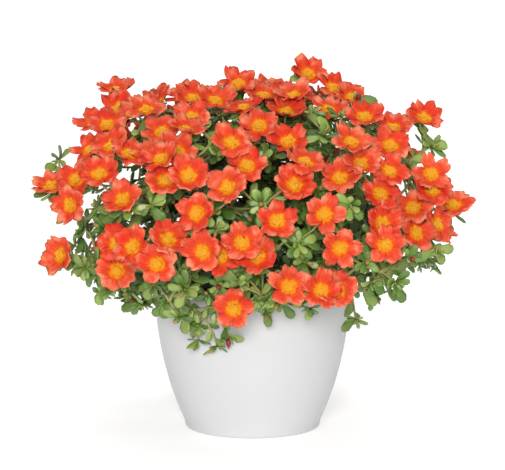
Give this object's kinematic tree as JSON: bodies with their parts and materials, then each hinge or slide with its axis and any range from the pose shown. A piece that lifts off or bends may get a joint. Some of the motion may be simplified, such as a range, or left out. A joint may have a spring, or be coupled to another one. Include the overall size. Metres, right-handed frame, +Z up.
{
  "type": "potted portulaca",
  "caption": "Flowering portulaca in a plain rounded white pot: a low dome of orange blooms with yellow eyes over fleshy green leaves and arching stems.",
  "frame": {"origin": "middle of the pot's flat base, on the surface that the pot stands on", "axes": "+Z up along the pot's axis, -Y towards the side that the picture shows, +X to the right in the picture"},
  "size_m": [0.3838, 0.3444, 0.3241],
  "materials": {
    "white_pot": "satin white injection-moulded plastic",
    "potting_soil": "matt dark crumbly peat and bark mix",
    "green_leaves": "soft waxy fleshy leaves, stems flushed with tan and pink",
    "orange_petals": "silky thin orange-red petals, golden at their foot, round a golden eye of stamens"
  },
  "bodies": {
    "root": {"bloom_bunch_01": "orange_petals", "bloom_bunch_02": "orange_petals", "bloom_bunch_03": "orange_petals", "bloom_bunch_04": "orange_petals", "bloom_bunch_05": "orange_petals", "bloom_bunch_06": "orange_petals", "bloom_bunch_07": "orange_petals", "bloom_bunch_08": "orange_petals", "bloom_bunch_09": "orange_petals", "bloom_bunch_10": "orange_petals", "bloom_bunch_11": "orange_petals", "bloom_bunch_12": "orange_petals", "bloom_bunch_13": "orange_petals", "bloom_bunch_14": "orange_petals", "bloom_bunch_15": "orange_petals", "bloom_bunch_16": "orange_petals", "bloom_bunch_17": "orange_petals", "bloom_bunch_18": "orange_petals", "bloom_bunch_19": "orange_petals", "bloom_bunch_20": "orange_petals", "bloom_bunch_21": "orange_petals", "bloom_bunch_22": "orange_petals", "bloom_bunch_23": "orange_petals", "bloom_bunch_24": "orange_petals", "bloom_bunch_25": "orange_petals", "bloom_bunch_26": "orange_petals", "bloom_bunch_27": "orange_petals", "bloom_bunch_28": "orange_petals", "bloom_bunch_29": "orange_petals", "bloom_bunch_30": "orange_petals", "bloom_bunch_31": "orange_petals", "bloom_bunch_32": "orange_petals", "bloom_bunch_33": "orange_petals", "bloom_bunch_34": "orange_petals", "bloom_bunch_35": "orange_petals", "bloom_bunch_36": "orange_petals", "bloom_bunch_37": "orange_petals", "bloom_bunch_38": "orange_petals", "bloom_bunch_39": "orange_petals", "bloom_bunch_40": "orange_petals", "bloom_bunch_41": "orange_petals", "bloom_bunch_42": "orange_petals", "bloom_bunch_43": "orange_petals", "bloom_bunch_44": "orange_petals", "bloom_bunch_45": "orange_petals", "bloom_bunch_46": "orange_petals", "bloom_bunch_47": "orange_petals", "bloom_bunch_48": "orange_petals", "leafy_stem_01": "green_leaves", "leafy_stem_02": "green_leaves", "leafy_stem_03": "green_leaves", "leafy_stem_04": "green_leaves", "leafy_stem_05": "green_leaves", "leafy_stem_06": "green_leaves", "leafy_stem_07": "green_leaves", "leafy_stem_08": "green_leaves", "leafy_stem_09": "green_leaves", "leafy_stem_10": "green_leaves", "pot": "white_pot", "soil": "potting_soil"}
  },
  "joints": []
}
